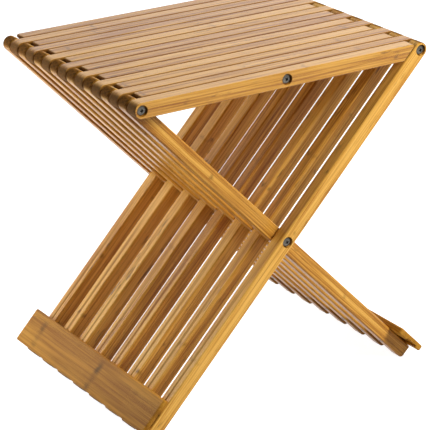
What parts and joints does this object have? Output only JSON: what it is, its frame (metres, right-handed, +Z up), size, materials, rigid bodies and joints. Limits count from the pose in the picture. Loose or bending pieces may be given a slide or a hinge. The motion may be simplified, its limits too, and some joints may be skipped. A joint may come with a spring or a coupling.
{
  "type": "folding stool",
  "caption": "Slatted bamboo folding stool: a flat seat on crossed legs, its seat and leg slats interleaved on steel rods so that it folds flat, with a board across the feet.",
  "frame": {"origin": "on the floor under the middle of the seat", "axes": "+Z up, X along the seat slats with the left-hinged seat slats on the -X rod, Y across the slats from the front layer to the rear one"},
  "size_m": [0.4078, 0.3114, 0.4155],
  "materials": {
    "bamboo_seat": "clear satin lacquer on laminated bamboo",
    "bamboo_legs": "clear satin lacquer on laminated bamboo",
    "bamboo_boards": "clear satin lacquer on laminated bamboo",
    "steel_rods": "bright zinc plate",
    "steel_screws": "nickel plate, slightly dull"
  },
  "bodies": {
    "left_foot_legs": {"left_foot_leg_1": "bamboo_legs", "left_foot_leg_2": "bamboo_legs", "left_foot_leg_3": "bamboo_legs", "left_foot_leg_4": "bamboo_legs", "left_foot_leg_5": "bamboo_legs", "left_foot_leg_6": "bamboo_legs", "left_foot_leg_7": "bamboo_legs", "left_foot_leg_8": "bamboo_legs", "left_foot_board": "bamboo_boards", "left_board_screws": "steel_screws", "right_hinge_rod": "steel_rods", "right_hinge_screws": "steel_screws", "leg_pivot_rod": "steel_rods", "leg_pivot_screws": "steel_screws"},
    "right_foot_legs": {"right_foot_leg_1": "bamboo_legs", "right_foot_leg_2": "bamboo_legs", "right_foot_leg_3": "bamboo_legs", "right_foot_leg_4": "bamboo_legs", "right_foot_leg_5": "bamboo_legs", "right_foot_leg_6": "bamboo_legs", "right_foot_leg_7": "bamboo_legs", "right_foot_leg_8": "bamboo_legs", "right_foot_board": "bamboo_boards", "right_board_screws": "steel_screws", "left_hinge_rod": "steel_rods", "left_hinge_screws": "steel_screws"},
    "left_seat": {"left_seat_slat_1": "bamboo_seat", "left_seat_slat_2": "bamboo_seat", "left_seat_slat_3": "bamboo_seat", "left_seat_slat_4": "bamboo_seat", "left_seat_slat_5": "bamboo_seat", "left_seat_slat_6": "bamboo_seat", "left_seat_slat_7": "bamboo_seat", "left_seat_slat_8": "bamboo_seat", "left_seat_pins": "steel_rods", "seat_pivot_front_screw": "steel_screws"},
    "right_seat": {"right_seat_slat_1": "bamboo_seat", "right_seat_slat_2": "bamboo_seat", "right_seat_slat_3": "bamboo_seat", "right_seat_slat_4": "bamboo_seat", "right_seat_slat_5": "bamboo_seat", "right_seat_slat_6": "bamboo_seat", "right_seat_slat_7": "bamboo_seat", "right_seat_slat_8": "bamboo_seat", "right_seat_pins": "steel_rods", "seat_pivot_rear_screw": "steel_screws"}
  },
  "joints": [
    {"name": "leg_fold", "type": "hinge", "parent": "left_foot_legs", "child": "right_foot_legs", "pos_m": [0, 0, 0.2067], "axis": [0, 1, 0], "range_deg": [0, 83.28]},
    {"name": "left_seat_hinge", "type": "hinge", "parent": "right_foot_legs", "child": "left_seat", "pos_m": [-0.19075, 0, 0.4062], "axis": [0, -1, 0], "range_deg": [0, 128.66]},
    {"name": "right_seat_hinge", "type": "hinge", "parent": "left_foot_legs", "child": "right_seat", "pos_m": [0.19075, 0, 0.4062], "axis": [0, 1, 0], "range_deg": [0, 128.66]}
  ],
  "couplings": [
    {"joint": "left_seat_hinge", "follows": "leg_fold", "ratio": 1.5446},
    {"joint": "right_seat_hinge", "follows": "leg_fold", "ratio": 1.5446}
  ]
}
